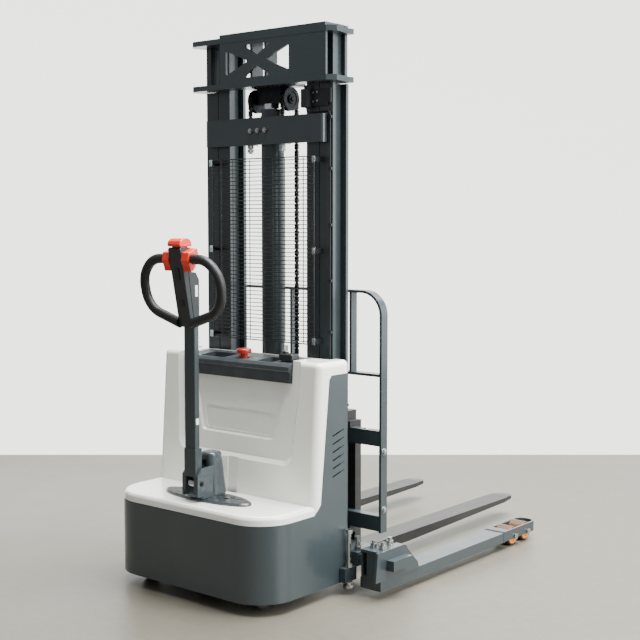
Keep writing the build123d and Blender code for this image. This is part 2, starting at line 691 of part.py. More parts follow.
def fork(side):
    """One fork: upright shank, tapered blade with a round tip, and its two hooks."""
    x0 = FORK_X - FORK_W / 2
    x1 = FORK_X + FORK_W / 2
    y0, y1 = SHANK_Y
    top = FORK_TOP_Z
    tip = FORK_TIP_Y
    sole = top - 40.0
    profile = [
        (y0, 600), (y0, sole + 24), (y0 + 22, sole), (y1 + 330, sole),
        (tip, top - 16), (tip, top - 5), (tip - 60, top), (y1 + 26, top), (y1, top + 26), (y1, 600),
    ]
    blade = prism_x(profile, x0, x1)
    heel = blade.edges().filter_by(Axis.X).filter_by(lambda e: e.center().Z > 45 and e.center().Y < y1 + 60)
    blade = fillet(heel.filter_by(lambda e: e.center().Z < 130), 9)
    plan = [
        (x0 - 1, -100), (x1 + 1, -100), (x1 + 1, tip - 110), (x1 - 11, tip - 30), (x1 - 32, tip),
        (x0 + 32, tip), (x0 + 11, tip - 30), (x0 - 1, tip - 110),
    ]
    blade = blade & prism_z(plan, 0, 700)
    hook = box(x0, x1, CARRIAGE_REAR_Y + 2, y1, UPPER_BAR_Z[1] + 0.6, 606)
    hook += box(x0 + 24, x1 - 24, CARRIAGE_REAR_Y - 12, y1, 606, 642)
    hook += box(x0 + 24, x1 - 24, CARRIAGE_REAR_Y - 12, CARRIAGE_REAR_Y - 0.6, 566, 606)
    toe = box(x0, x1, CARRIAGE_REAR_Y + 2, y0 + 1, 172, LOWER_BAR_Z[0] - 0.6)
    toe += box(x0 + 24, x1 - 24, CARRIAGE_REAR_Y - 12, CARRIAGE_REAR_Y + 3, 172, LOWER_BAR_Z[0] - 0.6)
    body = blade + hook + toe
    pin = cyl_z(7, 642, 656, FORK_X, 176) + cyl_z(11, 656, 664, FORK_X, 176)
    body += pin
    return body if side > 0 else mirrored(body)


# ---- support legs -------------------------------------------------------------------------
def leg_beam():
    outer = box(-BEAM_HALF_L, BEAM_HALF_L, *BEAM_Y, *BEAM_Z)
    w = BEAM_WALL
    inner = box(
        -BEAM_HALF_L - 1, BEAM_HALF_L + 1,
        BEAM_Y[0] + w, BEAM_Y[1] - w, BEAM_Z[0] + w, BEAM_Z[1] - w,
    )
    return outer - inner


def leg_bracket():
    """Box of plates that joins the leg to its sliding arm, with a sloping outer cheek."""
    core = box(500, 546, -22, 196, 71, 166)
    core -= box(508, 538, -14, 188, 66, 158)
    slope = [(-60, 60), (214, 60), (214, 71), (160, 166), (118, 172), (-60, 172)]
    core = core & prism_x(slope, 480, 600)
    cheek = prism_x([(-58, 71), (-45, 178), (118, 180), (205, 96), (214, 71)], 558, 568)
    inner_cheek = prism_x([(-22, 71), (-22, 170), (112, 170), (190, 84), (196, 71)], 474, 482)
    top = box(474, 568, -24, 112, 166, 176.2)
    foot = box(474, 562, -20, 214, 71, 79)
    return core + cheek + inner_cheek + top + foot


def sliding_arm():
    gap = 0.5
    w = BEAM_WALL
    y0, y1 = BEAM_Y[0] + w + gap, BEAM_Y[1] - w - gap
    z0, z1 = BEAM_Z[0] + w + gap, BEAM_Z[1] - w - gap
    outer = box(150, 600, y0, y1, z0, z1)
    inner = box(149, 594, y0 + 5, y1 - 5, z0 + 5, z1 - 5)
    return outer, inner


def wheel_housing():
    x0, x1 = LEG_X
    y0, tip = LEG_TUBE_END_Y, LEG_TIP_Y
    plan = box(x0, x1, y0, tip, 33, 75)
    nose = plan.edges().filter_by(Axis.Z).filter_by(lambda e: e.center().Y > tip - 1)
    plan = fillet(nose, 42)
    well = box(x0 + 9, x1 - 9, y0 + 42, tip - 11, 20, 90)
    well_nose = well.edges().filter_by(Axis.Z).filter_by(lambda e: e.center().Y > tip - 12)
    well = fillet(well_nose, 31)
    housing = plan - well
    housing += box(x0 - 1, x1 + 1, y0 - 8, y0, LEG_Z[0] - 1, LEG_Z[1] + 1)
    housing += box(x0 + 8, x1 - 8, y0, y0 + 40, 31.5, 33)
    return housing


def leg(side):
    x0, x1 = LEG_X
    z0, z1 = LEG_Z
    tube = box(x0, x1, LEG_REAR_Y, LEG_TUBE_END_Y, z0, z1)
    tube -= box(x0 + 6, x1 - 6, LEG_REAR_Y - 1, LEG_TUBE_END_Y - 8, z0 + 6, z1 - 6)
    tube += box(x0 + 6, x1 - 6, LEG_REAR_Y + 3, LEG_REAR_Y + 6, z0 + 6, z1 - 6)
    arm_outer, arm_inner = sliding_arm()
    body = tube + leg_bracket() + arm_outer - arm_inner + wheel_housing()
    for y in LOAD_ROLLER_Y:
        body -= cyl_x(10.0, x0 - 5, x1 + 5, y, LOAD_ROLLER_R)
    return body if side > 0 else mirrored(body)


def leg_hardware(side):
    """Roller axles with their heads, and the bracket's clamp bolts."""
    x0, x1 = LEG_X
    group = None
    for y in LOAD_ROLLER_Y:
        axle = cyl_x(9.9, x0 - 2, x1 + 2, y, LOAD_ROLLER_R) + cyl_x(13, x1 + 2, x1 + 5, y, LOAD_ROLLER_R)
        axle += cyl_x(13, x0 - 5, x0 - 2, y, LOAD_ROLLER_R)
        group = axle if group is None else group + axle
    for x, y in ((541, 22), (499, 22), (520, 92)):
        group += cyl_z(14, 176.2, 179.2, x, y) + hex_z(24, 179.2, 192, x, y)
        group += cyl_z(8, 192, 204, x, y)
    return group if side > 0 else mirrored(group)


def load_roller(side, y):
    x0, x1 = LEG_X[0] + 12.0, LEG_X[1] - 12.0
    roller = cyl_x(LOAD_ROLLER_R, x0, x1, y, LOAD_ROLLER_R)
    roller = fillet(roller.edges().filter_by(GeomType.CIRCLE), 4)
    roller -= cyl_x(24, x0 - 1, x0 + 3, y, LOAD_ROLLER_R)
    roller -= cyl_x(24, x1 - 3, x1 + 1, y, LOAD_ROLLER_R)
    roller -= cyl_x(9.96, x0 - 1, x1 + 1, y, LOAD_ROLLER_R)
    return roller if side > 0 else mirrored(roller)


def jack_bolt(side):
    shank = cyl_z(8.0, 40, 226, JACK_X, JACK_Y)
    head = hex_z(24, 226, 240, JACK_X, JACK_Y)
    foot = cyl_z(22, 20, 34, JACK_X, JACK_Y)
    foot = fillet(foot.edges().filter_by(GeomType.CIRCLE).sort_by(Axis.Z)[:1], 6)
    dome = cyl_z(14, 34, 44, JACK_X, JACK_Y)
    foot = foot + dome
    body = shank + head + foot
    return body if side > 0 else mirrored(body)


# ---- drive unit and casters ---------------------------------------------------------------
def drive_housing():
    gearbox = cyl_x(70, 44, 62, STEER_Y, DRIVE_WHEEL_R)
    cheek = box(44, 58, STEER_Y - 58, STEER_Y + 58, DRIVE_WHEEL_R, 268)
    disc = cyl_z(108, 267.9, 280, 0, STEER_Y)
    hub = cyl_z(50.44, 279.9, 344, 0, STEER_Y)
    axle = cyl_x(15, -30, 44.1, STEER_Y, DRIVE_WHEEL_R)
    flange = cyl_x(40, 40.5, 44.1, STEER_Y, DRIVE_WHEEL_R)
    return gearbox + cheek + disc + hub + axle + flange


def drive_motor():
    z = DRIVE_WHEEL_R
    can = cyl_x(46, 62.2, 92, STEER_Y, z)
    brake = cyl_x(40, 92, 101, STEER_Y, z)
    box_lid = box(64, 96, STEER_Y - 24, STEER_Y + 24, z + 40, z + 62)
    for k in range(4):
        x = 66 + 6.5 * k
        can -= cyl_x(47, x, x + 2.5, STEER_Y, z) - cyl_x(44, x - 1, x + 4, STEER_Y, z)
    return can + brake + box_lid


def drive_wheel():
    half = DRIVE_WHEEL_W / 2
    tyre = cyl_x(DRIVE_WHEEL_R, -half, half, STEER_Y, DRIVE_WHEEL_R)
    tyre = fillet(tyre.edges().filter_by(GeomType.CIRCLE), 7)
    tyre -= cyl_x(78, half - 9, half + 1, STEER_Y, DRIVE_WHEEL_R)
    tyre -= cyl_x(78, -half - 1, -half + 9, STEER_Y, DRIVE_WHEEL_R)
    tyre -= cyl_x(15.06, -half - 1, half + 1, STEER_Y, DRIVE_WHEEL_R)
    for k in range(5):
        a = math.radians(72.0 * k)
        bolt_y = STEER_Y + 48 * math.cos(a)
        bolt_z = DRIVE_WHEEL_R + 48 * math.sin(a)
        bolt_head = hex_x(16, -half + 8.9, -half + 15, bolt_y, bolt_z)
        tyre += bolt_head & cyl_x(100, -half + 9, -half + 14, STEER_Y, DRIVE_WHEEL_R)
    return tyre


def caster_fork(side):
    x, y = CASTER_X, STEER_Y
    plate = cyl_z(34, 148, 159.5, x, y)
    crown = box(x - 30, x + 30, y - 34, y + 20, 138, 148.1)
    cheek = prism_x([(y - 34, 138.1), (y + 20, 138.1), (y - 12, 44), (y - 40, 44)], x + 24, x + 30)
    other = prism_x([(y - 34, 138.1), (y + 20, 138.1), (y - 12, 44), (y - 40, 44)], x - 30, x - 24)
    axle = cyl_x(6.0, x - 33, x + 33, y - CASTER_TRAIL, CASTER_R)
    body = plate + crown + cheek + other + axle
    return body if side > 0 else mirrored(body)


def caster_wheel(side):
    x = CASTER_X
    y = STEER_Y - CASTER_TRAIL
    wheel = cyl_x(CASTER_R, x - 20, x + 20, y, CASTER_R)
    wheel = fillet(wheel.edges().filter_by(GeomType.CIRCLE), 6)
    wheel -= cyl_x(6.05, x - 21, x + 21, y, CASTER_R)
    for face in (x - 21, x + 17):
        wheel -= cyl_x(34, face, face + 4, y, CASTER_R) - cyl_x(14, face, face + 4, y, CASTER_R)
    return wheel if side > 0 else mirrored(wheel)


# ---- tiller -------------------------------------------------------------------------------
def tiller_bracket():
    """Moulded swivel bracket: two cheeks for the pivot pin and a tall round-topped boss."""
    floor = box(-42, 42, -398, -286, 364.2, 376)
    boss = loft([
        Plane.XY.offset(370) * Pos(0, -312) * RectangleRounded(96, 86, 28),
        Plane.XY.offset(524) * Pos(0, -316) * RectangleRounded(68, 66, 24),
    ])
    boss = fillet(boss.faces().sort_by(Axis.Z)[-1].edges(), 12)
    cheek_outline = [(-425, 374), (-350, 370), (-340, 480), (-404, 476), (-424, 452)]
    cheek = prism_x(cheek_outline, 31.5, 40)
    stem = cyl_z(49, 344.2, 364.3, 0, STEER_Y)
    body = floor + boss + both_sides(cheek) + stem
    body -= cyl_x(7.05, -50, 50, TILLER_PIVOT_Y, TILLER_PIVOT_Z)
    body -= cyl_y(13, -352, -336, 0, 486)
    return body


def tiller_pin():
    pin = cyl_x(7.0, -42, 42, TILLER_PIVOT_Y, TILLER_PIVOT_Z)
    heads = both_sides(cyl_x(9, 40, 42.4, TILLER_PIVOT_Y, TILLER_PIVOT_Z))
    return pin + heads


def return_spring():
    """Torsion spring around the pivot pin that brings the tiller upright."""
    coil = Helix(pitch=5.2, height=36.0, radius=12.0)
    section = Plane(origin=coil @ 0, z_dir=coil % 0) * Circle(2.0)
    wire = sweep(section, path=coil)
    return Pos(-18, TILLER_PIVOT_Y, TILLER_PIVOT_Z) * Rot(0, 90, 0) * wire


def tiller_arm():
    y0, y1 = -423.0, -399.0
    bar = box(-27, 27, y0, y1, 500, 1001)
    bar = fillet(bar.edges().filter_by(Axis.Z), 4)
    sleeve = box(-30, 30, -426, -390, 446, 549)
    sleeve = fillet(sleeve.edges().filter_by(Axis.Z), 5)
    leg_outline = [(-426, 446.5), (-390, 446.5), (-387, 410), (-396, 400), (-418, 388), (-426, 392)]
    leg_plate = prism_x(leg_outline, 21.5, 30)
    body = bar + sleeve + both_sides(leg_plate)
    body -= cyl_x(7.06, -40, 40, TILLER_PIVOT_Y, TILLER_PIVOT_Z)
    return body


def face_point(z, out=0.0):
    """A point (y, z) on the head's sloping front face, moved outwards by a distance."""
    dy = HEAD_HIGH[0] - HEAD_LOW[0]
    dz = HEAD_HIGH[1] - HEAD_LOW[1]
    length = math.hypot(dy, dz)
    t = (z - HEAD_LOW[1]) / dz
    return (HEAD_LOW[0] + t * dy - out * dz / length, z + out * dy / length)


def face_axis():
    dy = HEAD_HIGH[0] - HEAD_LOW[0]
    dz = HEAD_HIGH[1] - HEAD_LOW[1]
    length = math.hypot(dy, dz)
    return (0, -dz / length, dy / length)


def face_disc(shape, z, depth_in, depth_out):
    """A sketch on the head's front face, drawn out from below it to above it."""
    y, z_face = face_point(z, -depth_in)
    plane = Plane(origin=(0, y, z_face), x_dir=(1, 0, 0), z_dir=face_axis())
    return extrude(plane * shape, depth_in + depth_out, dir=face_axis())


def tiller_head():
    outline = [
        (-424, 1001.5), HEAD_LOW, HEAD_HIGH, (-488, 1276), (-440, 1276),
        (-436, 1190), (-414, 1186), (-398.5, 1160), (-398.5, 1001.5),
    ]
    outline[0] = (-424, 990)
    body = prism_x(outline, -HEAD_HALF_W, HEAD_HALF_W)
    side_edges = body.edges().filter_by(
        lambda e: abs(abs(e.center().X) - HEAD_HALF_W) < 0.1 and e.center().Z > 1003
        and e.center().Z < 1275
    )
    body = fillet(side_edges, 3)
    groove = prism_x([(-430, 1020), (-427, 1020), (-452, 1200), (-455, 1200)], HEAD_HALF_W - 2, 60)
    body -= both_sides(groove)
    body -= box(-27.1, 27.1, -423.1, -398.9, 980, 1001.2)
    body -= cyl_x(6.3, -60, 60, THROTTLE_Y, THROTTLE_Z)
    body -= face_disc(RectangleRounded(24, 44, 6.5), ROCKER_Z, 8.5, 20)
    pivot_y, pivot_z = face_point(ROCKER_Z, -3.0)
    body -= cyl_x(1.66, -16, 16, pivot_y, pivot_z)
    body -= face_disc(RectangleRounded(25, 25, 7), 1078, 7, 20)
    body -= box(-25, 25, -483, -445, 1258, 1290)
    return body


def grip_loops():
    """The closed hand loop on each side: a round grip from the head's top to its foot."""
    lean = math.atan2(HEAD_LOW[0] - HEAD_HIGH[0], HEAD_HIGH[1] - HEAD_LOW[1]) * 0.72
    plane = Plane(
        origin=(0, THROTTLE_Y - 1.5, THROTTLE_Z),
        x_dir=(1, 0, 0),
        z_dir=(0, -math.cos(lean), -math.sin(lean)),
    )
    corners = [(72, 3), (138, 1), (196, -62), (187, -179), (20, -234)]
    path = plane * FilletPolyline(*corners, radius=[92, 92, 92])
    tube = sweep(Plane(origin=path @ 0, z_dir=path % 0) * Circle(GRIP_R), path=path)
    stub = cyl_x(6.0, 28, 78, THROTTLE_Y, THROTTLE_Z)
    head_room = HEAD_HALF_W + 0.2
    tube -= box(-head_room, head_room, -600, -300, 900, 1300)
    return both_sides(tube + stub)


def belly_switch():
    outline = [
        (-492, 1279.6), (-497, 1286), (-492, 1299), (-478, 1308),
        (-456, 1309), (-440, 1302), (-434, 1286), (-436, 1279.6),
    ]
    cap = prism_x(outline, -32, 32)
    long_edges = cap.edges().filter_by(Axis.X).filter_by(lambda e: e.center().Z > 1282)
    cap = fillet(long_edges, 5)
    ends = cap.edges().filter_by(lambda e: abs(abs(e.center().X) - 32) < 0.01 and e.center().Z > 1279)
    cap = chamfer(ends, 2.5)
    stem = box(-23, 23, -480, -448, 1267, 1279.8)
    return cap + stem


def throttle():
    """The two thumb wings, one on each side of the head, on a common axis."""
    y, z = THROTTLE_Y, THROTTLE_Z
    wing_line = [
        (y + 24, z + 43), (y + 2, z + 32), (y - 18, z + 26), (y - 24, z - 4),
        (y - 14, z - 24), (y - 10, z - 42), (y + 6, z - 38), (y + 18, z - 24), (y + 30, z + 22),
    ]
    wing = prism_x(wing_line, HEAD_HALF_W + 1.2, HEAD_HALF_W + 35.2, 5)
    rim = wing.edges().filter_by(lambda e: e.center().X > HEAD_HALF_W + 34)
    wing = fillet(rim, 2.5)
    wing -= cyl_x(6.35, 20, 80, y, z)
    wing -= cyl_x(18.5, 60, 90, y, z)
    return both_sides(wing)


def lift_rocker():
    key = face_disc(RectangleRounded(22, 42, 5.5), ROCKER_Z, 5.5, 2.2)
    pivot_y, pivot_z = face_point(ROCKER_Z, -3.0)
    return key + cyl_x(1.6, -15, 15, pivot_y, pivot_z)


def horn_button():
    return face_disc(RectangleRounded(24, 24, 6.5), 1078, 5.5, 1.8)


def estop_button():
    stem = cyl_z(20.0, 806, 862, 0, -136)
    collar = cyl_z(26, 862, 866, 0, -136)
    head = cyl_z(29, 872, 890, 0, -136)
    head = fillet(head.edges().filter_by(GeomType.CIRCLE).sort_by(Axis.Z)[-1:], 8)
    neck = cyl_z(15, 862, 872.1, 0, -136)
    return stem + neck + head


def ignition_key():
    barrel = cyl_z(8.0, 873, 894, 203, -128)
    blade = box(200.5, 205.5, -139, -117, 893.9, 914)
    blade = fillet(blade.edges().filter_by(Axis.X), 3)
    return barrel + blade


def nodes():
    """Every sub-part by name."""
    table = {
        "chassis_frame": chassis_frame(),
        "chassis_skirt": chassis_skirt(),
        "rear_cover": rear_cover(),
        "top_tray": top_tray(),
        "tiller_trim": tiller_trim(),
        "battery_pack": battery_pack(),
        "hydraulic_unit": hydraulic_unit(),
        "control_pod": control_pod(),
        "frame_hardware": frame_hardware(),
        "outer_rails": outer_rails(),
        "outer_mast_rollers": roller_pair(235.0, 255.0, (1826.0,)),
        "anchor_crossbar": anchor_crossbar(),
        "mesh_guard": guard_mesh(),
        "mast_hose": mast_hose(),
        "limit_switch": limit_switch(),
        "cylinder_barrel": cylinder_barrel(),
        "inner_rails": inner_rails(),
        "inner_mast_rollers": roller_pair(262.5, 282.5, (196.0,)),
        "crosshead": crosshead(),
        "pulley_bracket": pulley_bracket(),
        "cylinder_rod": cylinder_rod(),
        "chain_rear_runs": chain_rear_runs(),
        "chain_wraps": chain_wraps(),
        "chain_front_runs": chain_front_runs(),
        "carriage_frame": carriage_frame(),
        "carriage_rollers": roller_pair(199.0, 219.0, CARRIAGE_ROLLER_Z),
        "load_backrest": load_backrest(),
        "drive_housing": drive_housing(),
        "drive_motor": drive_motor(),
        "drive_wheel": drive_wheel(),
        "tiller_bracket": tiller_bracket(),
        "tiller_pin": tiller_pin(),
        "return_spring": return_spring(),
        "tiller_arm": tiller_arm(),
        "tiller_head": tiller_head(),
        "grip_loops": grip_loops(),
        "belly_switch": belly_switch(),
        "throttle": throttle(),
        "lift_rocker": lift_rocker(),
        "horn_button": horn_button(),
        "estop_button": estop_button(),
        "ignition_key": ignition_key(),
    }
    for name, side in (("left", -1), ("right", 1)):
        table["chain_pulley_" + name] = chain_pulley(side)
        table["fork_" + name] = fork(side)
        table["leg_" + name] = leg(side)
        table["leg_hardware_" + name] = leg_hardware(side)
        table["jack_bolt_" + name] = jack_bolt(side)
        table["caster_fork_" + name] = caster_fork(side)
        table["caster_wheel_" + name] = caster_wheel(side)
        table["load_roller_" + name + "_rear"] = load_roller(side, LOAD_ROLLER_Y[0])
        table["load_roller_" + name + "_front"] = load_roller(side, LOAD_ROLLER_Y[1])
    return table


for node_name, shape in nodes().items():
    placed = shape.moved(Location((0, FRAME_Y, 0)))
    export_step(placed, os.path.join("parts", node_name + ".step"))
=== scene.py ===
import math

import bmesh
import bpy
from mathutils import Matrix, Vector


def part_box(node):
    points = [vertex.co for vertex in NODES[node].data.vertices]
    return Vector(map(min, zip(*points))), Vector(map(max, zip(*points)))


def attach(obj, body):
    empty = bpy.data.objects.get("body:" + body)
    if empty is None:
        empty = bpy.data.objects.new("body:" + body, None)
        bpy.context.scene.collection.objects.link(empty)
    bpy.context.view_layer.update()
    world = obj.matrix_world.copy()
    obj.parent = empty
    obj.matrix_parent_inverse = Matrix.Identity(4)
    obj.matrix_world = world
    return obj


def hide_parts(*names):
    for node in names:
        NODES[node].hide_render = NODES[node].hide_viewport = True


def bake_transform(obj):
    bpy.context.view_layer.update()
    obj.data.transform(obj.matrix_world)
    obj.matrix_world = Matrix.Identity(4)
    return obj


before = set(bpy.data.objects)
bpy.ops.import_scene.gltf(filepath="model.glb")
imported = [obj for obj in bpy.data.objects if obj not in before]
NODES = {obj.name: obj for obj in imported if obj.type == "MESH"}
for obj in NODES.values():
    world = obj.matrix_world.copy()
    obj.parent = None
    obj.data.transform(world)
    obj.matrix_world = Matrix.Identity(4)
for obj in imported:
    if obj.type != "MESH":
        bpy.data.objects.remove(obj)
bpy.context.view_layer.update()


# Mast frame: Y = 0 on the rear faces of the rails. MAST_Y is that plane in the row's frame.
MAST_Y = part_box("outer_rails")[0][1]


# ---- materials ----------------------------------------------------------------------------
def hex_rgb(text):
    """A colour as people write it, turned into linear light."""
    values = []
    for i in (1, 3, 5):
        c = int(text[i:i + 2], 16) / 255.0
        values.append(c / 12.92 if c <= 0.04045 else ((c + 0.055) / 1.055) ** 2.4)
    return (*values, 1.0)


class Mat:
    """A node material: a Principled shader, with helpers that add layers to it."""

    def __init__(self, name, rough, metal=0.0, coat=0.0):
        self.mat = bpy.data.materials.new(name)
        self.mat.use_nodes = True
        self.tree = self.mat.node_tree
        self.shader = self.tree.nodes["Principled BSDF"]
        self.shader.inputs["Roughness"].default_value = rough
        self.shader.inputs["Metallic"].default_value = metal
        self.shader.inputs["Coat Weight"].default_value = coat
        self.shader.inputs["Coat Roughness"].default_value = 0.12
        self.coord = self.tree.nodes.new("ShaderNodeTexCoord").outputs["Object"]
        self.normal = None

    def add(self, kind, **inputs):
        """A new node with some of its inputs set by name."""
        node = self.tree.nodes.new(kind)
        for key, value in inputs.items():
            node.inputs[key.replace("_", " ")].default_value = value
        return node

    def link(self, a, b):
        self.tree.links.new(a, b)

    def noise(self, scale, detail=4.0, rough=0.55, stretch=None):
        """Cloudy noise in object space, drawn out along an axis where stretch is low."""
        node = self.add("ShaderNodeTexNoise", Scale=scale, Detail=detail, Roughness=rough)
        source = self.coord
        if stretch:
            mapping = self.add("ShaderNodeMapping", Scale=stretch)
            self.link(source, mapping.inputs["Vector"])
            source = mapping.outputs["Vector"]
        self.link(source, node.inputs["Vector"])
        return node.outputs["Fac"]

    def ramp(self, source, stops):
        """Turns a grey value into colours, given as (place, colour) stops."""
        node = self.add("ShaderNodeValToRGB")
        elements = node.color_ramp.elements
        while len(elements) < len(stops):
            elements.new(0.5)
        for element, (place, colour) in zip(elements, stops):
            element.position = place
            element.color = colour
        self.link(source, node.inputs["Fac"])
        return node.outputs["Color"]

    def grey(self, source, low, high, start=0.3, end=0.7):
        """Turns a grey value into a number between low and high."""
        return self.ramp(source, [(start, (low, low, low, 1)), (end, (high, high, high, 1))])

    def mix(self, factor, a, b):
        """Blends two colours by a factor; each of the three may be a value or a socket."""
        node = self.tree.nodes.new("ShaderNodeMix")
        node.data_type = "RGBA"
        for socket, value in ((node.inputs["Factor"], factor), (node.inputs["A"], a), (node.inputs["B"], b)):
            if hasattr(value, "is_linked"):
                self.link(value, socket)
            else:
                socket.default_value = value
        return node.outputs["Result"]

    def colour(self, source):
        self.link(source, self.shader.inputs["Base Color"])

    def roughness(self, source):
        self.link(source, self.shader.inputs["Roughness"])

    def metallic(self, source):
        self.link(source, self.shader.inputs["Metallic"])

    def bump(self, source, strength, distance=0.001):
        """Adds relief on top of any relief given before."""
        node = self.add("ShaderNodeBump", Strength=strength, Distance=distance)
        self.link(source, node.inputs["Height"])
        if self.normal is not None:
            self.link(self.normal, node.inputs["Normal"])
        self.normal = node.outputs["Normal"]
        self.link(self.normal, self.shader.inputs["Normal"])

    def radius(self, centre_y, centre_z, limit):
        """A mask that is 1 beyond a radius about an axis along X."""
        split = self.add("ShaderNodeSeparateXYZ")
        self.link(self.coord, split.inputs["Vector"])
        combine = self.add("ShaderNodeCombineXYZ")
        self.link(split.outputs["Y"], combine.inputs["Y"])
        self.link(split.outputs["Z"], combine.inputs["Z"])
        offset = self.tree.nodes.new("ShaderNodeVectorMath")
        offset.operation = "DISTANCE"
        self.link(combine.outputs["Vector"], offset.inputs[0])
        offset.inputs[1].default_value = (0.0, centre_y, centre_z)
        test = self.tree.nodes.new("ShaderNodeMath")
        test.operation = "GREATER_THAN"
        test.inputs[1].default_value = limit
        self.link(offset.outputs["Value"], test.inputs[0])
        return test.outputs["Value"]


def painted(name, tone, rough=0.36, grain=900.0, coat=0.3):
    """Satin powder coat: fine orange peel, a slight tone drift and a few dusty patches."""
    m = Mat(name, rough, coat=coat)
    base = hex_rgb(tone)
    dark = tuple(c * 0.95 for c in base[:3]) + (1,)
    pale = tuple(min(1.0, c * 1.05 + 0.002) for c in base[:3]) + (1,)
    drift = m.ramp(m.noise(2.5, 2.0, 0.5), [(0.3, dark), (0.7, pale)])
    dust = m.grey(m.noise(7.0, 5.0, 0.6), 0.0, 0.12, 0.5, 0.8)
    m.colour(m.mix(dust, drift, tuple(min(1.0, c * 1.7 + 0.02) for c in base[:3]) + (1,)))
    m.roughness(m.grey(m.noise(9.0, 4.0, 0.55), rough - 0.05, rough + 0.07))
    m.bump(m.noise(grain, 2.0, 0.5), 0.06, 0.0001)
    return m.mat


def moulded(name, tone, rough=0.5, grain=1400.0, strength=0.25, coat=0.0, drift=0.1):
    """Injection-moulded plastic with a fine spark-eroded grain."""
    m = Mat(name, rough, coat=coat)
    base = hex_rgb(tone)
    low = tuple(c * (1 - drift) for c in base[:3]) + (1,)
    high = tuple(min(1.0, c * (1 + drift)) for c in base[:3]) + (1,)
    m.colour(m.ramp(m.noise(6.0, 3.0), [(0.3, low), (0.7, high)]))
    m.roughness(m.grey(m.noise(22.0, 4.0), max(0.04, rough - 0.06), rough + 0.08))
    m.bump(m.noise(grain, 1.5), strength, 0.00025)
    return m.mat


def metal(name, tone, rough=0.3, brushed=(1, 1, 1), spots=None):
    """Bare or plated steel, with a brushed or turned direction."""
    m = Mat(name, rough, metal=1.0)
    base = hex_rgb(tone)
    low = tuple(c * 0.8 for c in base[:3]) + (1,)
    colour = m.ramp(m.noise(40.0, 5.0, 0.6), [(0.3, low), (0.7, base)])
    if spots:
        patches = m.grey(m.noise(55.0, 6.0, 0.7), 0.0, 1.0, 0.6, 0.7)
        colour = m.mix(patches, colour, hex_rgb(spots))
    m.colour(colour)
    m.roughness(m.grey(m.noise(60.0, 4.0, 0.6, stretch=brushed), rough - 0.08, rough + 0.14))
    m.bump(m.noise(500.0, 2.0, 0.5, stretch=brushed), 0.12, 0.0002)
    return m.mat


def fork_steel():
    """Dark fork coating rubbed a little thin, with fine scuffs that run along the blade."""
    m = Mat("fork_steel", 0.46)
    scuffs = m.noise(7.0, 8.0, 0.65, stretch=(16.0, 0.7, 16.0))
    tone = m.ramp(m.noise(2.2, 3.0), [(0.3, hex_rgb("#1b1b1b")), (0.7, hex_rgb("#232323"))])
    rub = m.grey(scuffs, 0.0, 0.55, 0.56, 0.74)
    m.colour(m.mix(rub, tone, hex_rgb("#383836")))
    m.roughness(m.grey(scuffs, 0.36, 0.5, 0.35, 0.7))
    m.bump(m.noise(240.0, 3.0, stretch=(3.0, 0.4, 3.0)), 0.05, 0.0002)
    return m.mat


def wheel(name, node, core_limit, tread, core, tread_rough=0.55, core_metal=0.9):
    """A tyre or roller: tread beyond a radius, metal or plastic core inside it."""
    lo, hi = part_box(node)
    m = Mat(name, tread_rough)
    mask = m.radius((lo[1] + hi[1]) / 2, (lo[2] + hi[2]) / 2, core_limit)
    scuff = m.noise(70.0, 6.0, 0.65)
    base = hex_rgb(tread)
    worn = tuple(min(1, c * 1.35) for c in base[:3]) + (1,)
    soft = m.ramp(scuff, [(0.3, base), (0.75, worn)])
    m.colour(m.mix(mask, hex_rgb(core), soft))
    m.metallic(m.grey(mask, core_metal, 0.0, 0.4, 0.6))
    m.roughness(m.grey(mask, 0.34, tread_rough, 0.4, 0.6))
    m.bump(scuff, 0.2, 0.0004)
    return m.mat


def cover_gloss():
    """Glossy off-white vacuum-formed cover under a clear coat, very lightly dusty."""
    m = Mat("cover_gloss", 0.22, coat=0.6)
    m.shader.inputs["Coat Roughness"].default_value = 0.05
    dust = m.noise(11.0, 6.0, 0.6)
    m.colour(m.ramp(dust, [(0.25, hex_rgb("#f2f2ea")), (0.7, hex_rgb("#f6f6ef"))]))
    m.roughness(m.grey(dust, 0.2, 0.27, 0.3, 0.75))
    m.bump(m.noise(12.0, 1.0, 0.4), 0.03, 0.0006)
    return m.mat


def tray_textured():
    """Dark tray plastic with a coarse leather-like grain."""
    m = Mat("tray_textured", 0.5)
    cells = m.add("ShaderNodeTexVoronoi", Scale=420.0)
    m.link(m.coord, cells.inputs["Vector"])
    m.colour(m.ramp(m.noise(18.0, 4.0), [(0.3, hex_rgb("#2e3437")), (0.7, hex_rgb("#3b4245"))]))
    m.roughness(m.grey(m.noise(30.0, 4.0), 0.4, 0.56))
    m.bump(cells.outputs["Distance"], 0.35, 0.0004)
    return m.mat


frame_paint = painted("frame_paint", "#2b3538")
body_paint = painted("body_paint", "#303a3d", rough=0.34, coat=0.35)
mast_paint = painted("mast_paint", "#242e30", rough=0.36)
cover = cover_gloss()
tray = tray_textured()
pad_grey = moulded("pad_grey", "#2b3134", rough=0.27, grain=900.0, strength=0.12, coat=0.4)
tiller_grey = moulded("tiller_grey", "#384145", rough=0.24, grain=1600.0, strength=0.06, coat=0.5)
head_grey = moulded("head_grey", "#24292c", rough=0.38, grain=1500.0, strength=0.16)
panel_black = moulded("panel_black", "#16181a", rough=0.34, grain=2000.0, strength=0.08)
black_plastic = moulded("black_plastic", "#1b1d1f", rough=0.46)
grip_black = moulded("grip_black", "#090a0b", rough=0.5, grain=1900.0, strength=0.35)
cable_black = moulded("cable_black", "#161718", rough=0.58, grain=1200.0)
switch_red = moulded("switch_red", "#dc2a0a", rough=0.32, grain=1500.0, strength=0.08, coat=0.25, drift=0.05)
estop_red = moulded("estop_red", "#97190b", rough=0.3, grain=1500.0, strength=0.06, coat=0.3, drift=0.05)
zinc = metal("zinc", "#b9bbb8", rough=0.27, spots="#96937f")
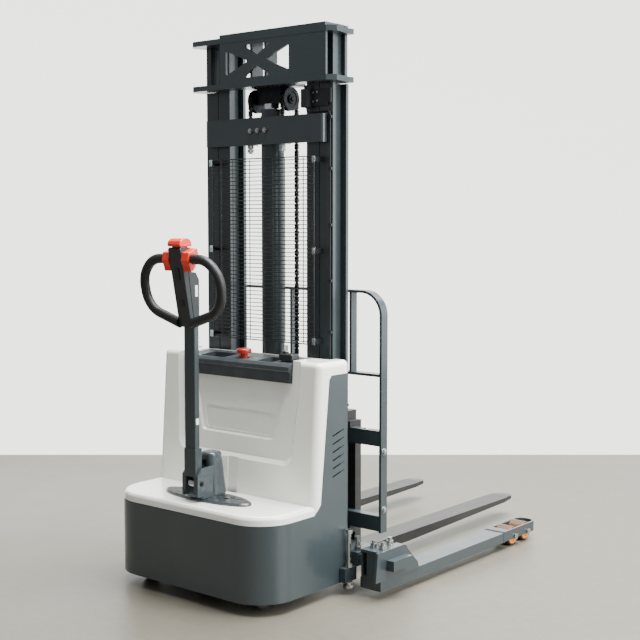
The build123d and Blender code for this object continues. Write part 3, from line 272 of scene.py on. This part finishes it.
bright_steel = metal("bright_steel", "#d9dadb", rough=0.12, brushed=(1, 1, 30))
turned_steel = metal("turned_steel", "#8d8f8f", rough=0.3, spots="#5d5850")
dark_steel = metal("dark_steel", "#2a2c2e", rough=0.36, spots="#1f1f1e")
chain_steel = metal("chain_steel", "#3a3a39", rough=0.36, spots="#211f1c")
wire_black = painted("wire_black", "#15181a", rough=0.34)
cast_grey = painted("cast_grey", "#4f5557", rough=0.6, grain=400.0)
battery_case = moulded("battery_case", "#2c3338", rough=0.5)
forks = fork_steel()
label_white = moulded("label_white", "#e9eae6", rough=0.35, strength=0.03)
clip_pale = moulded("clip_pale", "#a9bdb6", rough=0.45, strength=0.1)
DRIVE_CORE_R = 0.079
CASTER_CORE_R = 0.036
LOAD_CORE_R = 0.0325
CASTER_TREAD = ("#2a2b2c", "#7e8183")
LOAD_TREAD = ("#4b3019", "#f59300")
drive_tyre = wheel("drive_tyre", "drive_wheel", DRIVE_CORE_R, "#2b2b2a", "#6d7072", 0.7)

PLAIN = {
    "chassis_frame": frame_paint, "chassis_skirt": body_paint, "rear_cover": cover, "top_tray": tray,
    "tiller_trim": pad_grey, "battery_pack": battery_case, "hydraulic_unit": cast_grey,
    "control_pod": black_plastic, "frame_hardware": zinc, "outer_rails": mast_paint,
    "outer_mast_rollers": turned_steel, "anchor_crossbar": mast_paint, "mesh_guard": wire_black,
    "mast_hose": cable_black, "limit_switch": black_plastic, "cylinder_barrel": mast_paint,
    "inner_rails": mast_paint, "inner_mast_rollers": turned_steel, "crosshead": mast_paint,
    "pulley_bracket": dark_steel, "cylinder_rod": bright_steel, "carriage_frame": frame_paint,
    "carriage_rollers": turned_steel, "load_backrest": frame_paint, "drive_housing": cast_grey,
    "drive_motor": dark_steel, "drive_wheel": drive_tyre, "tiller_bracket": tiller_grey,
    "tiller_pin": dark_steel, "return_spring": bright_steel, "tiller_arm": frame_paint,
    "tiller_head": head_grey, "grip_loops": grip_black, "belly_switch": switch_red,
    "throttle": switch_red, "lift_rocker": panel_black, "horn_button": panel_black,
    "estop_button": estop_red, "ignition_key": zinc,
}
for side in ("left", "right"):
    PLAIN["chain_pulley_" + side] = dark_steel
    PLAIN["fork_" + side] = forks
    PLAIN["leg_" + side] = frame_paint
    PLAIN["leg_hardware_" + side] = zinc
    PLAIN["jack_bolt_" + side] = zinc
    PLAIN["caster_fork_" + side] = zinc
    caster = "caster_wheel_" + side
    PLAIN[caster] = wheel("caster_tread_" + side, caster, CASTER_CORE_R, *CASTER_TREAD)
    for place in ("rear", "front"):
        roller = "load_roller_" + side + "_" + place
        tread = "tread_" + side + "_" + place
        PLAIN[roller] = wheel(tread, roller, LOAD_CORE_R, *LOAD_TREAD, tread_rough=0.4, core_metal=0.0)

for node_name, obj in NODES.items():
    if node_name in PLAIN:
        for slot in obj.material_slots:
            slot.material = PLAIN[node_name]


# ---- pieces -------------------------------------------------------------------------------
def new_piece(name, bm, material, smooth=30.0):
    """Turns a bmesh into an object with one material and softly shaded curved faces."""
    mesh = bpy.data.meshes.new(name)
    bmesh.ops.recalc_face_normals(bm, faces=bm.faces)
    limit = math.radians(smooth)
    for edge in bm.edges:
        if len(edge.link_faces) == 2:
            edge.smooth = edge.calc_face_angle(0.0) < limit
    for face in bm.faces:
        face.smooth = True
    bm.to_mesh(mesh)
    bm.free()
    mesh.materials.append(material)
    obj = bpy.data.objects.new(name, mesh)
    bpy.context.scene.collection.objects.link(obj)
    return obj


def rounded_rect(width, height, radius, steps=5):
    """The corner points of a rounded rectangle about the origin, in order."""
    points = []
    for cx, cy, start in ((1, 1, 0), (-1, 1, 90), (-1, -1, 180), (1, -1, 270)):
        for k in range(steps + 1):
            a = math.radians(start + 90.0 * k / steps)
            x = cx * (width / 2 - radius) + radius * math.cos(a)
            y = cy * (height / 2 - radius) + radius * math.sin(a)
            points.append((x, y))
    return points


def plate(bm, outline, place, thickness, soften=0.0):
    """A closed plate: an outline in the local XY plane, raised along local Z."""
    rings = [(0.0, 0.0), (thickness - soften, 0.0)]
    if soften:
        rings += [(thickness - soften * 0.3, -soften * 0.3), (thickness, -soften)]
    loops = []
    for z, grow in rings:
        ring = []
        for x, y in outline:
            length = math.hypot(x, y) or 1.0
            scale = (length + grow) / length
            ring.append(bm.verts.new(place @ Vector((x * scale, y * scale, z))))
        loops.append(ring)
    count = len(outline)
    for low, high in zip(loops, loops[1:]):
        for k in range(count):
            bm.faces.new((low[k], low[(k + 1) % count], high[(k + 1) % count], high[k]))
    bm.faces.new(list(reversed(loops[0])))
    bm.faces.new(loops[-1])


def regular(sides, radius):
    """The corners of a regular polygon about the origin."""
    angles = [2 * math.pi * k / sides for k in range(sides)]
    return [(radius * math.cos(a), radius * math.sin(a)) for a in angles]


def axes(x, y, z):
    """A turn that lays the local axes along three directions."""
    return Matrix((x, y, z)).transposed().to_4x4()


ACROSS = Vector((1, 0, 0))
AHEAD = Vector((0, 1, 0))
UP = Vector((0, 0, 1))
# Turns for a plate that faces the rear, and for one that faces left (-1) or right (1).
FACING_REAR = axes(ACROSS, UP, -AHEAD)
FACING = {-1: axes(AHEAD, UP, -ACROSS), 1: axes(AHEAD, UP, ACROSS)}
STAND_OFF = 0.0001


# ---- lift chains: leaf chain links in place of the plain bands ----------------------------
PITCH = 0.0127
CHAIN_SPAN = 0.016
CHAIN_THICK = 0.010
LINK_WIDTH = CHAIN_THICK * 0.96
LINK_PLATE = 0.0029
EYE_ROUND = 0.9
WAIST = 0.72
PIN_R = 0.0017
# Where the plates of the two kinds of link start, across the chain.
OUTER_LANES = (-0.0079, -0.00145, 0.005)
INNER_LANES = (-0.00465, 0.00175)


def link_outline(steps=6):
    """The waisted outline of one chain plate, from eye to eye along local Y."""
    r = LINK_WIDTH / 2
    points = []
    for end, start in ((1, 0), (-1, 180)):
        for k in range(steps + 1):
            a = math.radians(start + 180.0 * k / steps)
            points.append((r * math.cos(a), end * PITCH / 2 + r * math.sin(a) * EYE_ROUND))
        points.append((-end * r * WAIST, 0.0))
    return points


def chain_link(bm, centre, along, outer):
    """One link of leaf chain: its plates side by side, and the pin through one eye."""
    turn = axes(along.cross(ACROSS), along, ACROSS)
    for lane in (OUTER_LANES if outer else INNER_LANES):
        plate(bm, link_outline(), Matrix.Translation(centre + ACROSS * lane) @ turn, LINK_PLATE)
    pin_end = centre + along * PITCH / 2 - ACROSS * CHAIN_SPAN / 2
    plate(bm, regular(8, PIN_R), Matrix.Translation(pin_end) @ turn, CHAIN_SPAN)


def chain_run(name, low_z, high_z, y):
    """The straight stretch of both chains between two heights."""
    bm = bmesh.new()
    count = max(2, round((high_z - low_z - CHAIN_THICK) / PITCH))
    step = (high_z - low_z - CHAIN_THICK) / count
    for x in CHAIN_XS:
        for k in range(count):
            centre = Vector((x, y, low_z + CHAIN_THICK / 2 + step * (k + 0.5)))
            chain_link(bm, centre, UP, k % 2 == 0)
    return new_piece(name, bm, chain_steel)


def chain_xs(node):
    """The centre of the chain on each side."""
    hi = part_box(node)[1]
    return (-(hi[0] - CHAIN_SPAN / 2), hi[0] - CHAIN_SPAN / 2)


rear_lo, rear_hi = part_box("chain_rear_runs")
front_lo, front_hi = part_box("chain_front_runs")
CHAIN_XS = chain_xs("chain_rear_runs")
rear_y = (rear_lo[1] + rear_hi[1]) / 2
front_y = (front_lo[1] + front_hi[1]) / 2
rear_run = chain_run("chain_rear_links", rear_lo[2], rear_hi[2], rear_y)
front_run = chain_run("chain_front_links", front_lo[2], front_hi[2], front_y)
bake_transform(rear_run)
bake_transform(front_run)
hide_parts("chain_rear_runs")
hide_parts("chain_front_runs")

wrap_bm = bmesh.new()
wrap_r = (front_y - rear_y) / 2
wrap_centre_y = (front_y + rear_y) / 2
wrap_count = round(math.pi * wrap_r / PITCH)
for x in CHAIN_XS:
    for k in range(wrap_count):
        a = math.pi * (k + 0.5) / wrap_count
        centre = Vector((x, wrap_centre_y - wrap_r * math.cos(a), rear_hi[2] + wrap_r * math.sin(a)))
        chain_link(wrap_bm, centre, Vector((0, math.sin(a), math.cos(a))), k % 2 == 0)
wrap = new_piece("chain_wrap_links", wrap_bm, chain_steel)
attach(wrap, "inner_mast")
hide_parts("chain_wraps")


# ---- small pieces: clip pads, screws, bolt heads and blank labels -------------------------
CLIP_SIZE = (0.015, 0.026, 0.003)
CLIP_INSET = 0.0105
CLIP_END = 0.0142
CLIP_THICK = 0.0022
CLIP_SOFT = 0.0008
CLIP_SCREW_UP = 0.006
SCREW_HEAD = 0.0012
SCREW_SOFT = 0.0004


def screw_outline(width):
    """A round screw head, as a rectangle whose corners meet in a circle."""
    return rounded_rect(width, width, width / 2 - 0.00001)


guard_lo, guard_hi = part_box("mesh_guard")
clip_heights = (guard_lo[2] + CLIP_END, (guard_lo[2] + guard_hi[2]) / 2, guard_hi[2] - CLIP_END)
for sign, word, finish in ((-1, "left", clip_pale), (1, "right", zinc)):
    clip_bm = bmesh.new()
    for z in clip_heights:
        centre = Vector((sign * (guard_hi[0] - CLIP_INSET), guard_lo[1] - STAND_OFF, z))
        pad = Matrix.Translation(centre) @ FACING_REAR
        plate(clip_bm, rounded_rect(*CLIP_SIZE), pad, CLIP_THICK, CLIP_SOFT)
        head = centre + Vector((0, STAND_OFF - CLIP_THICK, CLIP_SCREW_UP))
        place = Matrix.Translation(head) @ FACING_REAR
        plate(clip_bm, screw_outline(0.006), place, SCREW_HEAD, SCREW_SOFT)
    clips = new_piece("guard_clip_pads_" + word, clip_bm, finish)
    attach(clips, "chassis")

# Four screws on the limit switch's plate, placed from the low corner of its box.
SWITCH_SCREWS = ((0.039, 0.022), (0.039, 0.054), (0.059, 0.024), (0.059, 0.056))
SWITCH_PLATE_Y = 0.0229
switch_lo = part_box("limit_switch")[0]
screw_bm = bmesh.new()
for dx, dz in SWITCH_SCREWS:
    centre = Vector((switch_lo[0] + dx, switch_lo[1] + SWITCH_PLATE_Y, switch_lo[2] + dz))
    plate(screw_bm, screw_outline(0.008), Matrix.Translation(centre) @ FACING_REAR, SCREW_HEAD, SCREW_SOFT)
screws = new_piece("limit_switch_screws", screw_bm, zinc)
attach(screws, "chassis")

# Plated washers and heads over the bolts that hold the backrest to the fork bars.
BOLT_HEIGHTS = (0.284, 0.505)
BOLT_Y = MAST_Y + 0.151
BOLT_SEAT = 0.0079
WASHER_R = 0.0135
BOLT_HEAD_R = 0.0113
rest_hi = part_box("load_backrest")[1]
bolt_bm = bmesh.new()
for sign in (-1, 1):
    for z in BOLT_HEIGHTS:
        seat = Vector((sign * (rest_hi[0] - BOLT_SEAT), BOLT_Y, z))
        place = Matrix.Translation(seat) @ FACING[sign]
        plate(bolt_bm, regular(24, WASHER_R), place, 0.002, 0.0005)
        plate(bolt_bm, regular(6, BOLT_HEAD_R), place, 0.0082, 0.0012)
bolts = new_piece("backrest_bolts", bolt_bm, zinc)
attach(bolts, "carriage")

# Blank labels on the right-hand sides of the tiller's head and arm.
LABEL_THICK = 0.0004
LABEL_CORNER = 0.001
ARM_INSET = 0.0029
HEAD_LABEL = (0.013, 0.04)
ARM_LABEL = (0.013, 0.022)
head_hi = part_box("tiller_head")[1]
arm_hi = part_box("tiller_arm")[1]
label_bm = bmesh.new()
for size, place in (
    (HEAD_LABEL, (head_hi[0] + STAND_OFF, MAST_Y - 0.414, 1.121)),
    (ARM_LABEL, (arm_hi[0] - ARM_INSET, MAST_Y - 0.411, 0.648)),
):
    plate(label_bm, rounded_rect(*size, LABEL_CORNER), Matrix.Translation(place) @ FACING[1], LABEL_THICK)
labels = new_piece("blank_labels", label_bm, label_white)
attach(labels, "tiller")


# ---- floor, wall, light and camera --------------------------------------------------------
AZIMUTH = math.radians(39.57)
ELEVATION = math.radians(4.84)
FOCAL_MM = 67.1
SENSOR_MM = 36.0
EYE = Vector((3.0786, -3.4096 + MAST_Y, 1.3764))
FLAT_VIEW = Vector((-math.sin(AZIMUTH), math.cos(AZIMUTH), 0))
RIGHT = Vector((math.cos(AZIMUTH), math.sin(AZIMUTH), 0))


def stage_plane(name, corners, material):
    """A flat face of the stage."""
    mesh = bpy.data.meshes.new(name)
    mesh.from_pydata([tuple(c) for c in corners], [], [(0, 1, 2, 3)])
    mesh.materials.append(material)
    obj = bpy.data.objects.new(name, mesh)
    bpy.context.scene.collection.objects.link(obj)


def floor_material():
    """Worn grey concrete with broad drifts of tone and fine specks."""
    m = Mat("floor_concrete", 0.42)
    broad = m.noise(0.9, 5.0, 0.55)
    fine = m.noise(24.0, 8.0, 0.65)
    tone = m.ramp(broad, [(0.3, hex_rgb("#57534a")), (0.7, hex_rgb("#656156"))])
    speck = m.ramp(fine, [(0.3, hex_rgb("#4f4c42")), (0.7, hex_rgb("#676458"))])
    m.colour(m.mix(0.35, tone, speck))
    m.roughness(m.grey(broad, 0.34, 0.5))
    return m.mat


def wall_material():
    """Pale plaster that glows enough to read as a bright background."""
    m = Mat("wall_plaster", 0.85)
    m.colour(m.ramp(m.noise(1.6, 5.0, 0.55), [(0.3, hex_rgb("#eceee8")), (0.7, hex_rgb("#f1f4ed"))]))
    m.bump(m.noise(60.0, 4.0), 0.05, 0.001)
    m.shader.inputs["Emission Color"].default_value = hex_rgb("#f0f3ec")
    m.shader.inputs["Emission Strength"].default_value = 2.8
    return m.mat


# The floor ends a little behind the machine, and a pale wall stands far beyond it, out of the
# way of a camera that looks at the machine from the other side.
FLOOR_START = -7.0
FLOOR_END = 6.9
FLOOR_HALF_W = 12.0
WALL_DISTANCE = 22.0
WALL_HALF_W = 14.0
WALL_BOTTOM = -8.0
WALL_TOP = 12.0


def stage_point(ahead, across, height):
    """A point of the stage: along the camera's line, to its right, and above the floor."""
    place = EYE + FLAT_VIEW * ahead + RIGHT * across
    return Vector((place.x, place.y, height))


stage_plane(
    "floor",
    [stage_point(FLOOR_START, -FLOOR_HALF_W, 0), stage_point(FLOOR_START, FLOOR_HALF_W, 0),
     stage_point(FLOOR_END, FLOOR_HALF_W, 0), stage_point(FLOOR_END, -FLOOR_HALF_W, 0)],
    floor_material(),
)
stage_plane(
    "wall",
    [stage_point(WALL_DISTANCE, -WALL_HALF_W, WALL_BOTTOM),
     stage_point(WALL_DISTANCE, WALL_HALF_W, WALL_BOTTOM),
     stage_point(WALL_DISTANCE, WALL_HALF_W, WALL_TOP),
     stage_point(WALL_DISTANCE, -WALL_HALF_W, WALL_TOP)],
    wall_material(),
)


def area_light(name, place, target, width, height, power, tint=(1, 1, 1)):
    """A rectangular light that faces a target."""
    data = bpy.data.lights.new(name, "AREA")
    data.shape = "RECTANGLE"
    data.size = width
    data.size_y = height
    data.energy = power
    data.color = tint
    obj = bpy.data.objects.new(name, data)
    obj.location = place
    direction = Vector(target) - Vector(place)
    obj.rotation_euler = direction.to_track_quat("-Z", "Y").to_euler()
    bpy.context.scene.collection.objects.link(obj)


area_light("window_right", (3.6, 3.9, 1.7), (0, 0, 0.9), 3.2, 3.2, 110.0, (0.93, 0.98, 1.0))
area_light("key_right", (4.6, 0.2, 2.4), (0, 0, 0.9), 2.6, 3.4, 330.0)
area_light("top_soft", (0.8, 0.7, 4.8), (0, 0.1, 0.3), 4.2, 4.2, 1600.0)

world = bpy.data.worlds.new("studio")
world.use_nodes = True
world.node_tree.nodes["Background"].inputs["Color"].default_value = (0.92, 0.95, 1.0, 1.0)
world.node_tree.nodes["Background"].inputs["Strength"].default_value = 0.48
bpy.context.scene.world = world

camera_data = bpy.data.cameras.new("camera")
camera_data.sensor_width = SENSOR_MM
camera_data.lens = FOCAL_MM
camera = bpy.data.objects.new("camera", camera_data)
camera.location = EYE
back = Vector((
    math.sin(AZIMUTH) * math.cos(ELEVATION),
    -math.cos(AZIMUTH) * math.cos(ELEVATION),
    math.sin(ELEVATION),
))
camera.rotation_mode = "QUATERNION"
camera.rotation_quaternion = (-back).to_track_quat("-Z", "Y")
bpy.context.scene.collection.objects.link(camera)
bpy.context.scene.camera = camera
